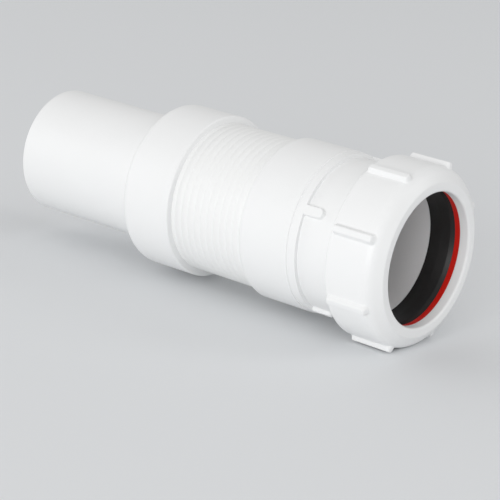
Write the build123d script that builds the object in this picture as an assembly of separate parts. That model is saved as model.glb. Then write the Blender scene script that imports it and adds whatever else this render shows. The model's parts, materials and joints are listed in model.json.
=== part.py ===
"""Flexible waste connector: a plain tail, a folded sleeve and a compression socket, lying on its side.

Millimetres. The pipe's axis runs along X, with the tail at -X and the nut's mouth at +X.
"""
from build123d import *
from math import cos, radians, sin, tan
import os

# Lengths along the axis, in the order they are met from the tail's end to the nut's face
tail_length = 52.0
collar_length = 20.5
fold_pitch = 2.7
fold_count = 11
shoulder_length = 19.5
band_length = 3.2
neck_length = 13.7
nut_length = 19.4

# Outer radii
pipe_radius = 21.5
collar_radius = 27.9
sleeve_radius = 25.5
shoulder_radius = 27.25
band_radius = 26.95
neck_radius = 25.95
nut_radius = 29.9
rib_radius = 31.5

# Waterway and pipe socket
tail_bore_radius = 19.1
stop_radius = 20.0
socket_radius = 22.0
mouth_radius = 22.2
stop_thickness = 2.8

# Folded sleeve, with plain ends let into the collar and the shoulder
fold_depth = 0.3
sleeve_wall = 1.4
cuff_length = 12.0
cuff_clearance = 0.1

# Nut and washer
nut_bore_radius = 26.4
lip_thickness = 3.6
washer_thickness = 2.2
washer_inner_radius = 22.6
washer_outer_radius = 25.1

# Cone seal: its flange, its bevelled front edge, the funnel behind that, its lip and its seat
seal_flange_thickness = 2.7
seal_flange_radius = 25.0
seal_edge_radius = 23.25
seal_bevel_length = 1.7
seal_bevel_radius = 22.5
seal_funnel_length = 5.0
seal_funnel_radius = 22.0
seal_cone_length = 6.4
seal_tip_radius = 21.8
seal_tip_wall = 1.0
seal_seat_radius = 24.4
seal_clearance = 0.1

# Ribs on the nut and lugs on the band; angles turn from straight up towards -Y
rib_count = 8
rib_length = 14.6
rib_width = 2.8
rib_corner = 0.9
rib_setback = 1.2
rib_root_radius = 27.6
rib_angle = 23.5
lug_count = 4
lug_length = 7.0
lug_width = 3.5
lug_corner = 1.1
lug_root_radius = 25.1
lug_angle = 61.6

# Soft edges, with the number of flats that round the larger ones
tail_edge = 0.8
collar_rounding = 3.0
collar_flats = 3
shoulder_edge = 0.7
nut_back_edge = 0.7
lip_edge = 0.4

# Bevel at the nut's front: its angle from the round side, where it meets the face, and the turn into it
bevel_angle = 57.0
bevel_face_radius = 25.4
bevel_rounding = 4.4
bevel_flats = 2

# Places along the axis
fold_length = fold_pitch * fold_count
pipe_length = tail_length + collar_length + fold_length + shoulder_length + band_length + neck_length
overall_length = pipe_length + nut_length
tail_x = -overall_length / 2
collar_x = tail_x + tail_length
folds_x = collar_x + collar_length
shoulder_x = folds_x + fold_length
band_x = shoulder_x + shoulder_length
neck_x = band_x + band_length
nut_x = neck_x + neck_length
face_x = nut_x + nut_length
washer_front_x = face_x - lip_thickness
washer_back_x = washer_front_x - washer_thickness
socket_end_x = washer_back_x - seal_flange_thickness
seal_seat_x = socket_end_x - seal_cone_length - seal_clearance
sleeve_start_x = folds_x - cuff_length
sleeve_end_x = shoulder_x + cuff_length
stop_x = sleeve_end_x + stop_thickness
cuff_seat_radius = sleeve_radius + cuff_clearance
sleeve_bore_radius = sleeve_radius - sleeve_wall

# The nut is the widest round piece, so the pipe lies on it
axis_height = nut_radius


def turned(points):
    """The outline through these (x, radius) points, turned about the pipe's axis."""
    return revolve(make_face(Polyline(*points, close=True)), Axis.X)


def soft_corner(x, radius, size, flats=1):
    """Points of an eased outer corner, from the end face at x to the round side that follows it."""
    angles = [radians(90 * k / flats) for k in range(flats + 1)]
    return [(x + size * (1 - cos(a)), radius - size * (1 - sin(a))) for a in angles]


def bar(start_x, length, width, corner, root_radius, top_radius, both_ends=True):
    """A bar along the pipe, straight up between two radii, with cut corners at its far end or at both."""
    corners = Rectangle(length, width).vertices()
    plan = chamfer(corners if both_ends else corners.group_by(Axis.X)[-1], corner)
    column = extrude(Pos(start_x + length / 2, 0) * plan, 2 * top_radius)
    layer = turned([
        (start_x, root_radius),
        (start_x, top_radius),
        (start_x + length, top_radius),
        (start_x + length, root_radius),
    ])
    return column & layer


def around(solid, count, first_angle):
    """Copies of a solid that stands straight up, spaced evenly around the axis."""
    return [Rot(X=first_angle + 360 * k / count) * solid for k in range(count)]


def tail_spigot():
    """Plain tail, and the collar that takes the sleeve's end."""
    return turned([
        (tail_x, tail_bore_radius),
        *soft_corner(tail_x, pipe_radius, tail_edge),
        (collar_x, pipe_radius),
        *soft_corner(collar_x, collar_radius, collar_rounding, collar_flats),
        (folds_x, collar_radius),
        (folds_x, cuff_seat_radius),
        (sleeve_start_x, cuff_seat_radius),
        (sleeve_start_x, tail_bore_radius),
    ])


def fold_line(crest_radius):
    """Zigzag of the folds from crest to crest, as (x, radius) points."""
    crests = [(folds_x + fold_pitch * k, crest_radius) for k in range(fold_count + 1)]
    roots = [(x + fold_pitch / 2, radius - fold_depth) for x, radius in crests[:-1]]
    return [point for pair in zip(crests, roots) for point in pair] + crests[-1:]


def bellows():
    """Sleeve of one even wall, folded along its middle, with a plain cuff at each end."""
    return turned([
        (sleeve_start_x, sleeve_bore_radius),
        (sleeve_start_x, sleeve_radius),
        *fold_line(sleeve_radius),
        (sleeve_end_x, sleeve_radius),
        (sleeve_end_x, sleeve_bore_radius),
        *reversed(fold_line(sleeve_bore_radius)),
    ])


def socket_body():
    """Shoulder over the sleeve, stepped band with lugs, neck, seat for the seal and stop for the pipe."""
    body = turned([
        (shoulder_x, cuff_seat_radius),
        *soft_corner(shoulder_x, shoulder_radius, shoulder_edge),
        (band_x, shoulder_radius),
        (band_x, band_radius),
        (neck_x, band_radius),
        (neck_x, neck_radius),
        (socket_end_x, neck_radius),
        (socket_end_x, seal_seat_radius),
        (seal_seat_x, seal_tip_radius + seal_tip_wall + seal_clearance),
        (seal_seat_x, socket_radius),
        (stop_x, socket_radius),
        (stop_x, stop_radius),
        (sleeve_end_x, stop_radius),
        (sleeve_end_x, cuff_seat_radius),
    ])
    # Each lug runs from the band onto the neck, level with the band
    lug = bar(neck_x, lug_length, lug_width, lug_corner, lug_root_radius, band_radius, both_ends=False)
    return body + around(lug, lug_count, lug_angle)


def cone_seal():
    """Rubber ring: a flange on the socket's end and a hollow cone that wedges into its mouth."""
    tip_x = socket_end_x - seal_cone_length
    return turned([
        (washer_back_x, seal_edge_radius),
        (washer_back_x, seal_flange_radius),
        (socket_end_x, seal_flange_radius),
        (socket_end_x, seal_seat_radius - seal_clearance),
        (tip_x, seal_tip_radius + seal_tip_wall),
        (tip_x, seal_tip_radius),
        (washer_back_x - seal_funnel_length, seal_funnel_radius),
        (washer_back_x - seal_bevel_length, seal_bevel_radius),
    ])


def slip_washer():
    """Flat ring that lets the nut turn without dragging the seal round."""
    return turned([
        (washer_back_x, washer_inner_radius),
        (washer_back_x, washer_outer_radius),
        (washer_front_x, washer_outer_radius),
        (washer_front_x, washer_inner_radius),
    ])


def nut_bevel():
    """Points along the nut's front edge: the round side turns into the bevel, which runs to the face."""
    corner_x = face_x - (nut_radius - bevel_face_radius) / tan(radians(bevel_angle))
    start_x = corner_x - bevel_rounding * tan(radians(bevel_angle / 2))
    angles = [radians(bevel_angle * k / bevel_flats) for k in range(bevel_flats + 1)]
    turn = [(start_x + bevel_rounding * sin(a), nut_radius - bevel_rounding * (1 - cos(a))) for a in angles]
    return [*turn, (face_x, bevel_face_radius)]


def compression_nut():
    """Ribbed nut with an inward lip that presses on the washer."""
    body = turned([
        (nut_x, nut_bore_radius),
        *soft_corner(nut_x, nut_radius, nut_back_edge),
        *nut_bevel(),
        (face_x, mouth_radius + lip_edge),
        (face_x - lip_edge, mouth_radius),
        (washer_front_x, mouth_radius),
        (washer_front_x, nut_bore_radius),
    ])
    rib = bar(nut_x + rib_setback, rib_length, rib_width, rib_corner, rib_root_radius, rib_radius)
    return body + around(rib, rib_count, rib_angle)


nodes = {
    "tail_spigot": tail_spigot(),
    "bellows": bellows(),
    "socket_body": socket_body(),
    "cone_seal": cone_seal(),
    "slip_washer": slip_washer(),
    "compression_nut": compression_nut(),
}

os.makedirs("parts", exist_ok=True)
for name, solid in nodes.items():
    export_step(Pos(0, 0, axis_height) * solid, f"parts/{name}.step")
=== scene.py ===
"""Looks of a flexible waste connector: soft-edged mouldings, a folded sleeve and a threaded, ribbed nut."""

import json
from math import acos, atan2, ceil, cos, hypot, pi, radians, sin, tan

import bmesh
import bpy
import numpy as np
from mathutils import Matrix, Vector


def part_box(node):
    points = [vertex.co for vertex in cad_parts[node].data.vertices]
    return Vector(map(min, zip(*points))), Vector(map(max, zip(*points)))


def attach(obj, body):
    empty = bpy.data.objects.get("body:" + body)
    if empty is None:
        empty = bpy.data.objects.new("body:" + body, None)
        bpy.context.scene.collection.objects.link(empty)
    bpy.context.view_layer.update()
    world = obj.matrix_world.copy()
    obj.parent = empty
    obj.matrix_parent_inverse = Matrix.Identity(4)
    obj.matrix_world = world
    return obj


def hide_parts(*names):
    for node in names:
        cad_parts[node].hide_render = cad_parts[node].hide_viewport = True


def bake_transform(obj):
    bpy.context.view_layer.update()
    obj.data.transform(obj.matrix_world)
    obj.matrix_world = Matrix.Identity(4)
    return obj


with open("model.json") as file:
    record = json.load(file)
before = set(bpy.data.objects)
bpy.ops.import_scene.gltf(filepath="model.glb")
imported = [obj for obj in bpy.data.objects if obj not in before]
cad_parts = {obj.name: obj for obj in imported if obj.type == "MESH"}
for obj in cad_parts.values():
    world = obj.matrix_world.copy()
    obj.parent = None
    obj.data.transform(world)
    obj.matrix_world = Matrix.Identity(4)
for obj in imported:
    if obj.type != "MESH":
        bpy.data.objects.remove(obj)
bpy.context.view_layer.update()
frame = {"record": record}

MM = 0.001


def span_of(node):
    """Where a turned node starts and ends along the pipe, and its outer radius, in millimetres."""
    low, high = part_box(node)
    return low.x / MM, high.x / MM, (high.y - low.y) / 2 / MM


def mount_radius(name):
    """Radius of one of the part's mounts, in millimetres."""
    mounts = {mount["name"]: mount for mount in frame["record"]["mounts"]}
    return mounts[name]["dims"]["r_mm"]


# Places along the axis and outer radii, in millimetres, read from the frame
tail_x, folds_x, collar_radius = span_of("tail_spigot")
sleeve_start_x, sleeve_end_x, sleeve_radius = span_of("bellows")
shoulder_x, socket_end_x, shoulder_radius = span_of("socket_body")
seal_tip_x, washer_back_x, seal_flange_radius = span_of("cone_seal")
_, washer_front_x, washer_outer_radius = span_of("slip_washer")
nut_x, face_x, nut_radius = span_of("compression_nut")
axis_height = nut_radius
pipe_radius = mount_radius("tail")
socket_radius = mount_radius("pipe_socket")

# Lengths and radii that the frame doesn't give
tail_length = 52.0
tail_bore_radius = 19.1
shoulder_length = 19.5
band_length = 3.2
band_radius = 26.95
neck_radius = 25.6
stop_radius = 20.0
stop_thickness = 2.8
mouth_radius = 22.2
nut_bore_radius = 26.4
washer_inner_radius = 22.6

# Cone seal, from its bevelled front edge over the funnel to its lip
seal_edge_radius = 23.25
seal_bevel_length = 1.7
seal_bevel_radius = 22.5
seal_funnel_length = 5.0
seal_funnel_radius = 22.0
seal_tip_radius = 21.8
seal_tip_wall = 1.0
seal_seat_radius = 24.4
seal_clearance = 0.1

# Bevel at the nut's front: its angle from the round side, and where it meets the face
bevel_angle = radians(57)
bevel_face_radius = 25.4

# Folds of the sleeve; its cuffs sit a hair deep in the collar and the shoulder, so that no gap shows
fold_count = 11
fold_depth = 0.3
fold_sharpness = 2.5
sleeve_wall = 1.4
cuff_overlap = 0.05

# Thread, right-handed
thread_pitch = 4.0
thread_root_radius = 25.0
thread_crest_radius = 25.95
thread_clearance = 0.2
thread_base = 2.2
thread_crest = 1.2
thread_fade = 0.5
neck_thread_setback = 1.6
nut_thread_setback = 0.8
nut_thread_overrun = 1.5

# Roundings of the edges
flush_edge = 0.02
hair_edge = 0.05
fine_edge = 0.15
small_edge = 0.25
plain_edge = 0.4
tail_edge = 0.8
collar_rounding = 3.0
collar_end_edge = 0.7
shoulder_edge = 1.3
nut_back_edge = 1.0
bevel_rounding = 4.4
face_edge = 0.9
mouth_edge = 0.8
step_slope = 0.03

# Fineness of the meshes
turn_steps = 192
fold_points = 16
bar_end_points = 22
arc_step = radians(12)
guard_length = 0.35
crease_angle = radians(42)

collar_x = tail_x + tail_length
band_x = shoulder_x + shoulder_length
neck_x = band_x + band_length
stop_x = sleeve_end_x + stop_thickness
thread_x = nut_x + neck_thread_setback
bevel_x = face_x - (nut_radius - bevel_face_radius) / tan(bevel_angle)
cuff_seat_radius = sleeve_radius - cuff_overlap
sleeve_bore_radius = sleeve_radius - sleeve_wall
fold_pitch = (shoulder_x - folds_x) / fold_count
folds_middle_x = (folds_x + shoulder_x) / 2

# Bars raised from a round surface: top is the radius that they rise to, foot the least one below them, and
# the slopes are the lengths over which their sides and ends rise. Angles turn from straight up towards -Y.
rib_setback = 1.1
lug_length = 7.0
ribs = {
    "count": 8,
    "angle": radians(23.5),
    "start": nut_x + rib_setback,
    "length": 15.0,
    "width": 2.8,
    "corner": 0.93,
    "foot": 27.6,
    "top": 31.5,
    "side_slope": 1.1,
    "end_slope": 0.9,
}
lugs = {
    "count": 4,
    "angle": radians(61.6),
    "start": band_x,
    "length": band_length + lug_length,
    "width": 3.5,
    "corner": 1.75,
    "foot": 25.5,
    "top": band_radius,
    "side_slope": 0.5,
    "end_slope": 0.5,
}


def heading(x, r):
    """Direction of a step along the axis and away from it, as an angle."""
    return atan2(r, x)


def arc(centre, first, last):
    """Points along the shorter arc about a centre, from the first point to the last."""
    radius = np.linalg.norm(first - centre)
    start = heading(*(first - centre))
    turn = (heading(*(last - centre)) - start + pi) % (2 * pi) - pi
    steps = max(2, ceil(abs(turn) / arc_step))
    angles = [start + turn * k / steps for k in range(steps + 1)]
    return [centre + radius * np.array([cos(angle), sin(angle)]) for angle in angles]


def rounded(corners):
    """Closed (x, radius) outline through (x, radius, rounding) corners, each turned into an arc."""
    long_stretch = 4
    points = []
    for k, (x, r, rounding) in enumerate(corners):
        corner = np.array([x, r])
        before = np.array(corners[k - 1][:2]) - corner
        after = np.array(corners[(k + 1) % len(corners)][:2]) - corner
        lengths = np.linalg.norm(before), np.linalg.norm(after)
        before /= lengths[0]
        after /= lengths[1]
        half_angle = acos(np.clip(before @ after, -1, 1)) / 2
        reach = rounding / tan(half_angle)
        middle = (before + after) / np.linalg.norm(before + after)
        first = corner + before * reach
        last = corner + after * reach
        # A point just outside each end of the arc keeps the shading of a long straight stretch even
        room = long_stretch * (reach + guard_length)
        if lengths[0] > room:
            points.append(first + before * guard_length)
        points += arc(corner + middle * reach / cos(half_angle), first, last)
        if lengths[1] > room:
            points.append(last + after * guard_length)
    return points


def bar_stations(bar):
    """Places along the axis, close together at the bars' ends."""
    end = bar["start"] + bar["length"]
    offsets = np.linspace(-bar["end_slope"], bar["corner"] + bar["end_slope"], bar_end_points)
    return [*(bar["start"] + offsets), *(end - offsets)]


def with_stations(outline, bar):
    """The closed outline with points added below the bars' ends."""
    least_gap = 0.02
    points = []
    for start, end in zip(outline, outline[1:] + outline[:1]):
        points.append(start)
        low, high = sorted((start[0], end[0]))
        stations = [x for x in bar_stations(bar) if low + least_gap < x < high - least_gap]
        if min(start[1], end[1]) < bar["foot"]:
            stations = []
        for x in sorted(stations, reverse=bool(start[0] > end[0])):
            points.append(start + (end - start) * (x - start[0]) / (end[0] - start[0]))
    return points


def even_angles():
    """Angles around the axis, evenly spaced."""
    return [2 * pi * k / turn_steps for k in range(turn_steps)]


def bar_angles(bar):
    """Angles around the axis, closer together across the bars' sides."""
    # In half widths of a bar, from its middle to its side and past it
    shares = np.array([0, 0.25, 0.45, 0.6, 0.7, 0.79, 0.86, 0.93, 1.0, 1.07, 1.14, 1.22, 1.32, 1.5, 1.8])
    offsets = shares * bar["width"] / 2 / bar["top"]
    centres = [bar["angle"] + 2 * pi * k / bar["count"] for k in range(bar["count"])]
    close = [centre + side * offset for centre in centres for offset in offsets for side in (-1, 1)]
    reach = offsets[-1] + pi / turn_steps
    apart = [a for a in even_angles() if all(abs((a - c + pi) % (2 * pi) - pi) > reach for c in centres)]
    return sorted({round(a % (2 * pi), 6) for a in close + apart})


def smooth(value):
    """Smooth rise from 0 to 1 as the value goes from 0 to 1."""
    share = min(max(value, 0), 1)
    return share * share * (3 - 2 * share)


def raised(bar, x, r, angle):
    """Radius of a place on the outline once the bars are raised from it."""
    if r < bar["foot"]:
        return r
    sector = 2 * pi / bar["count"]
    off_centre = (angle - bar["angle"] + sector / 2) % sector - sector / 2
    along = abs(x - bar["start"] - bar["length"] / 2) - bar["length"] / 2
    along *= bar["side_slope"] / bar["end_slope"]
    across = abs(off_centre) * bar["top"] - bar["width"] / 2
    outside = hypot(max(along + bar["corner"], 0), max(across + bar["corner"], 0))
    distance = outside + min(max(along, across) + bar["corner"], 0) - bar["corner"]
    return r + smooth(0.5 - distance / bar["side_slope"]) * max(bar["top"] - r, 0)


def spot(x, radius, angle):
    """The point at a place along the axis, a distance from it and an angle around it."""
    return (x, -radius * sin(angle), radius * cos(angle))


def strip_faces(rows, columns, closed):
    """Faces between rows of points, each row a closed loop; closed joins the last row to the first."""
    faces = []
    for i in range(rows if closed else rows - 1):
        here = i * columns
        there = (i + 1) % rows * columns
        for j in range(columns):
            k = (j + 1) % columns
            faces.append((here + j, here + k, there + k, there + j))
    return faces


def turned(outline):
    """Vertices and faces of a closed outline turned about the axis."""
    angles = even_angles()
    vertices = [spot(x, r, angle) for angle in angles for x, r in outline]
    return vertices, strip_faces(len(angles), len(outline), closed=True)


def turned_with(bar, outline):
    """Vertices and faces of a closed outline turned about the axis, with bars raised from it."""
    outline = with_stations(outline, bar)
    angles = bar_angles(bar)
    vertices = [spot(x, raised(bar, x, r, angle), angle) for angle in angles for x, r in outline]
    return vertices, strip_faces(len(angles), len(outline), closed=True)


def thread_ridge(start_x, end_x, wall_radius, crest_radius, origin_x):
    """Vertices and faces of a helical ridge on a round wall, sinking into the wall at both ends."""
    # Heights are shares of the way from the wall to the crest
    sunk = -0.1
    foot = 0.02
    flank = 0.85
    half_base = thread_base / 2
    half_crest = thread_crest / 2
    half_top = half_crest * 2 / 3
    section = [
        (-half_base, sunk),
        (-half_base, foot),
        (-half_crest, flank),
        (-half_top, 1),
        (half_top, 1),
        (half_crest, flank),
        (half_base, foot),
        (half_base, sunk),
    ]
    first_x = start_x + half_base
    last_x = end_x - half_base
    steps = ceil((last_x - first_x) / thread_pitch * turn_steps / 2)
    vertices = []
    for x in np.linspace(first_x, last_x, steps + 1):
        height = smooth(min(x - first_x, last_x - x) / thread_fade)
        for offset, share in section:
            radius = wall_radius + (crest_radius - wall_radius) * share * (height if share > 0 else 1)
            vertices.append(spot(x + offset, radius, 2 * pi * (x - origin_x) / thread_pitch))
    size = len(section)
    ends = [tuple(range(size)), tuple(range(steps * size, (steps + 1) * size))]
    return vertices, strip_faces(steps + 1, size, closed=False) + ends


def piece(name, parts, material):
    """A shown mesh, in metres, from lists of vertices and faces in millimetres about the pipe's axis."""
    vertices = []
    faces = []
    for some_vertices, some_faces in parts:
        first = len(vertices)
        vertices += [(x * MM, y * MM, (z + axis_height) * MM) for x, y, z in some_vertices]
        faces += [tuple(first + index for index in face) for face in some_faces]
    mesh = bpy.data.meshes.new(name)
    mesh.from_pydata(vertices, [], faces)
    outward = bmesh.new()
    outward.from_mesh(mesh)
    bmesh.ops.recalc_face_normals(outward, faces=outward.faces)
    outward.to_mesh(mesh)
    outward.free()
    mesh.materials.append(material)
    mesh.shade_smooth()
    mesh.set_sharp_from_angle(angle=crease_angle)
    thing = bpy.data.objects.new(name, mesh)
    bpy.context.scene.collection.objects.link(thing)
    return thing


def standing_for(thing, node, body):
    """Lets a mesh take a node's place on its body."""
    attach(thing, body)
    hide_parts(node)


def new_material(name):
    """A material with its node tree and shader."""
    material = bpy.data.materials.new(name)
    material.use_nodes = True
    tree = material.node_tree
    return material, tree, tree.nodes["Principled BSDF"]


def noise(tree, scale, stretch=(1, 1, 1)):
    """Noise over a piece's own coordinates, drawn out along an axis where the stretch is small."""
    place = tree.nodes.new("ShaderNodeTexCoord")
    mapping = tree.nodes.new("ShaderNodeMapping")
    mapping.inputs["Scale"].default_value = stretch
    texture = tree.nodes.new("ShaderNodeTexNoise")
    texture.inputs["Scale"].default_value = scale
    texture.inputs["Detail"].default_value = 3
    tree.links.new(place.outputs["Object"], mapping.inputs["Vector"])
    tree.links.new(mapping.outputs["Vector"], texture.inputs["Vector"])
    return texture.outputs["Fac"]


def tint(tree, shader, factor, dark, light):
    """Colour that wanders between two shades."""
    mix = tree.nodes.new("ShaderNodeMix")
    mix.data_type = "RGBA"
    mix.inputs["A"].default_value = (*dark, 1)
    mix.inputs["B"].default_value = (*light, 1)
    tree.links.new(factor, mix.inputs["Factor"])
    tree.links.new(mix.outputs["Result"], shader.inputs["Base Color"])


def gloss(tree, shader, factor, low, high):
    """Roughness that wanders between two values."""
    spread = tree.nodes.new("ShaderNodeMapRange")
    spread.inputs["To Min"].default_value = low
    spread.inputs["To Max"].default_value = high
    tree.links.new(factor, spread.inputs["Value"])
    tree.links.new(spread.outputs["Result"], shader.inputs["Roughness"])


def skin(tree, shader, height, strength, depth):
    """Fine relief of a surface, with its depth in metres."""
    bump = tree.nodes.new("ShaderNodeBump")
    bump.inputs["Strength"].default_value = strength
    bump.inputs["Distance"].default_value = depth
    tree.links.new(height, bump.inputs["Height"])
    tree.links.new(bump.outputs["Normal"], shader.inputs["Normal"])


def white_plastic():
    """Satin moulded plastic with faint clouds and a fine skin."""
    material, tree, shader = new_material("white_plastic")
    clouds = noise(tree, scale=60)
    tint(tree, shader, clouds, dark=(0.867, 0.872, 0.872), light=(0.885, 0.89, 0.89))
    gloss(tree, shader, clouds, low=0.33, high=0.45)
    skin(tree, shader, noise(tree, scale=2600), strength=0.25, depth=0.00004)
    return material


def sleeve_plastic():
    """Softer white plastic, with fine lines around the sleeve from forming it."""
    material, tree, shader = new_material("sleeve_plastic")
    clouds = noise(tree, scale=80)
    tint(tree, shader, clouds, dark=(0.867, 0.872, 0.867), light=(0.885, 0.89, 0.885))
    gloss(tree, shader, clouds, low=0.47, high=0.6)
    lines = noise(tree, scale=2200, stretch=(1, 0.05, 0.05))
    skin(tree, shader, lines, strength=0.2, depth=0.00004)
    return material


def seal_rubber():
    """Black rubber with a grey bloom and a grainy skin."""
    material, tree, shader = new_material("seal_rubber")
    bloom = noise(tree, scale=350)
    tint(tree, shader, bloom, dark=(0.005, 0.005, 0.005), light=(0.011, 0.01, 0.01))
    gloss(tree, shader, bloom, low=0.4, high=0.55)
    skin(tree, shader, noise(tree, scale=3500), strength=0.4, depth=0.00005)
    return material


def washer_plastic():
    """Red moulded plastic with faint streaks around the ring."""
    material, tree, shader = new_material("washer_plastic")
    shader.inputs["Specular IOR Level"].default_value = 0.3
    streaks = noise(tree, scale=700, stretch=(1, 0.15, 0.15))
    tint(tree, shader, streaks, dark=(0.6, 0.009, 0.003), light=(0.68, 0.012, 0.005))
    gloss(tree, shader, streaks, low=0.33, high=0.45)
    skin(tree, shader, noise(tree, scale=2600), strength=0.2, depth=0.00004)
    return material


def tail_spigot(plastic):
    """Plain tail and rounded collar."""
    outline = rounded([
        (tail_x, tail_bore_radius, plain_edge),
        (tail_x, pipe_radius, tail_edge),
        (collar_x, pipe_radius, plain_edge),
        (collar_x, collar_radius, collar_rounding),
        (folds_x, collar_radius, collar_end_edge),
        (folds_x, cuff_seat_radius, flush_edge),
        (sleeve_start_x, cuff_seat_radius, fine_edge),
        (sleeve_start_x, tail_bore_radius, plain_edge),
    ])
    thing = piece("tail_moulding", [turned(outline)], plastic)
    standing_for(thing, "tail_spigot", "tail")


def fold_wave(start_x, end_x, crest_radius):
    """Points of the folds between two places: broad crests with a narrow, smooth groove between them."""
    steps = round((end_x - start_x) / fold_pitch * fold_points)
    xs = np.linspace(start_x, end_x, steps + 1)
    drops = fold_depth * (0.5 - 0.5 * np.cos(2 * pi * (xs - folds_x) / fold_pitch)) ** fold_sharpness
    return [(x, crest_radius - drop) for x, drop in zip(xs, drops)]


def bellows(plastic):
    """Folded sleeve in two halves, one next to the socket and the other next to the tail."""
    socket_half = [
        *fold_wave(folds_middle_x, shoulder_x, sleeve_radius),
        (sleeve_end_x, sleeve_radius),
        (sleeve_end_x, sleeve_bore_radius),
        *reversed(fold_wave(folds_middle_x, shoulder_x, sleeve_bore_radius)),
    ]
    tail_half = [
        (sleeve_start_x, sleeve_bore_radius),
        (sleeve_start_x, sleeve_radius),
        *fold_wave(folds_x, folds_middle_x, sleeve_radius),
        *reversed(fold_wave(folds_x, folds_middle_x, sleeve_bore_radius)),
    ]
    by_socket = piece("sleeve_socket_half", [turned(socket_half)], plastic)
    by_tail = piece("sleeve_tail_half", [turned(tail_half)], plastic)
    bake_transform(by_socket)
    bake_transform(by_tail)
    for half in (by_socket, by_tail):
        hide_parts("bellows")


def socket_body(plastic):
    """Shoulder, stepped band with four lugs, neck and threaded end."""
    seat_x = seal_tip_x - seal_clearance
    outline = rounded([
        (shoulder_x, cuff_seat_radius, flush_edge),
        (shoulder_x, shoulder_radius, shoulder_edge),
        (band_x, shoulder_radius, hair_edge),
        (band_x + step_slope, band_radius, hair_edge),
        (neck_x, band_radius, hair_edge),
        (neck_x + step_slope, neck_radius, fine_edge),
        (thread_x, neck_radius, small_edge),
        (thread_x, thread_root_radius, small_edge),
        (socket_end_x, thread_root_radius, small_edge),
        (socket_end_x, seal_seat_radius, fine_edge),
        (seat_x, seal_tip_radius + seal_tip_wall + seal_clearance, fine_edge),
        (seat_x, socket_radius, fine_edge),
        (stop_x, socket_radius, small_edge),
        (stop_x, stop_radius, plain_edge),
        (sleeve_end_x, stop_radius, plain_edge),
        (sleeve_end_x, cuff_seat_radius, fine_edge),
    ])
    thread = thread_ridge(thread_x, socket_end_x, thread_root_radius, thread_crest_radius, thread_x)
    thing = piece("socket_moulding", [turned_with(lugs, outline), thread], plastic)
    standing_for(thing, "socket_body", "socket")


def cone_seal(rubber):
    """Rubber ring with a bevelled front edge, a funnel and a thin lip."""
    outline = rounded([
        (washer_back_x, seal_edge_radius, small_edge),
        (washer_back_x, seal_flange_radius, small_edge),
        (socket_end_x, seal_flange_radius, small_edge),
        (socket_end_x, seal_seat_radius - seal_clearance, fine_edge),
        (seal_tip_x, seal_tip_radius + seal_tip_wall, small_edge),
        (seal_tip_x, seal_tip_radius, small_edge),
        (washer_back_x - seal_funnel_length, seal_funnel_radius, face_edge),
        (washer_back_x - seal_bevel_length, seal_bevel_radius, plain_edge),
    ])
    thing = piece("rubber_cone_seal", [turned(outline)], rubber)
    standing_for(thing, "cone_seal", "socket")


def slip_washer(plastic):
    """Thin ring with softened edges."""
    outline = rounded([
        (washer_back_x, washer_inner_radius, small_edge),
        (washer_back_x, washer_outer_radius, small_edge),
        (washer_front_x, washer_outer_radius, small_edge),
        (washer_front_x, washer_inner_radius, small_edge),
    ])
    thing = piece("red_slip_washer", [turned(outline)], plastic)
    standing_for(thing, "slip_washer", "washer")


def compression_nut(plastic):
    """Nut with a bevelled front, eight soft ribs and a thread inside."""
    outline = rounded([
        (nut_x, nut_bore_radius, plain_edge),
        (nut_x, nut_radius, nut_back_edge),
        (bevel_x, nut_radius, bevel_rounding),
        (face_x, bevel_face_radius, face_edge),
        (face_x, mouth_radius, mouth_edge),
        (washer_front_x, mouth_radius, small_edge),
        (washer_front_x, nut_bore_radius, small_edge),
    ])
    # Its ridge runs midway between the turns of the neck's thread
    start_x = nut_x + nut_thread_setback
    end_x = socket_end_x + nut_thread_overrun
    crest_radius = thread_root_radius + thread_clearance
    thread = thread_ridge(start_x, end_x, nut_bore_radius, crest_radius, thread_x + thread_pitch / 2)
    thing = piece("ribbed_nut", [turned_with(ribs, outline), thread], plastic)
    standing_for(thing, "compression_nut", "nut")


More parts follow.
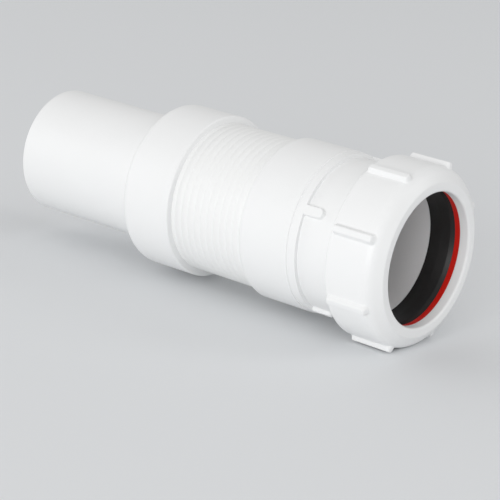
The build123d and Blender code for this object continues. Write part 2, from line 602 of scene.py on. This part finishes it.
def floor():
    """Plain pale floor."""
    half = 6.0
    corners = [(-half, -half, 0), (half, -half, 0), (half, half, 0), (-half, half, 0)]
    mesh = bpy.data.meshes.new("floor")
    mesh.from_pydata(corners, [], [(0, 1, 2, 3)])
    material, _, shader = new_material("floor")
    shader.inputs["Base Color"].default_value = (0.79, 0.805, 0.82, 1)
    shader.inputs["Roughness"].default_value = 0.9
    mesh.materials.append(material)
    thing = bpy.data.objects.new("floor", mesh)
    bpy.context.scene.collection.objects.link(thing)


def softbox(name, place, size, power):
    """A square soft lamp, aimed at the middle of the pipe."""
    aim = Vector((0, 0, axis_height * MM))
    light = bpy.data.lights.new(name, "AREA")
    light.size = size
    light.energy = power
    lamp = bpy.data.objects.new(name, light)
    lamp.location = place
    lamp.rotation_euler = (aim - Vector(place)).to_track_quat("-Z", "Y").to_euler()
    bpy.context.scene.collection.objects.link(lamp)


def studio():
    """Even light all round, and three soft lamps."""
    world = bpy.data.worlds.new("studio")
    world.use_nodes = True
    sky = world.node_tree.nodes["Background"]
    sky.inputs["Color"].default_value = (1, 1, 1, 1)
    sky.inputs["Strength"].default_value = 0.64
    bpy.context.scene.world = world
    # The front and tail lamps light both walls of a groove alike, and the rear one shows the folds on top
    softbox("front_softbox", place=(0.4, -1.36, 0.25), size=0.9, power=10.3)
    softbox("tail_softbox", place=(-1.3, -0.6, 0.25), size=0.9, power=3.2)
    softbox("rear_softbox", place=(0.9, 0.6, 0.7), size=0.4, power=1.5)


def camera():
    """Camera at the photograph's place, turned a little about its line of sight."""
    place = Vector((0.41592, -0.53999, 0.22345))
    aim = Vector((0.00789, 0.00009, 0.01472))
    roll = radians(5.24)
    forward = (aim - place).normalized()
    level_right = forward.cross(Vector((0, 0, 1))).normalized()
    level_up = level_right.cross(forward)
    right = cos(roll) * level_right + sin(roll) * level_up
    up = cos(roll) * level_up - sin(roll) * level_right
    data = bpy.data.cameras.new("camera")
    data.sensor_width = 36
    data.lens = 151.69
    thing = bpy.data.objects.new("camera", data)
    thing.matrix_world = Matrix.Translation(place) @ Matrix((right, up, -forward)).transposed().to_4x4()
    bpy.context.scene.collection.objects.link(thing)
    bpy.context.scene.camera = thing


white = white_plastic()
tail_spigot(white)
bellows(sleeve_plastic())
socket_body(white)
cone_seal(seal_rubber())
slip_washer(washer_plastic())
compression_nut(white)
floor()
studio()
camera()
bpy.context.scene.view_settings.view_transform = "Standard"
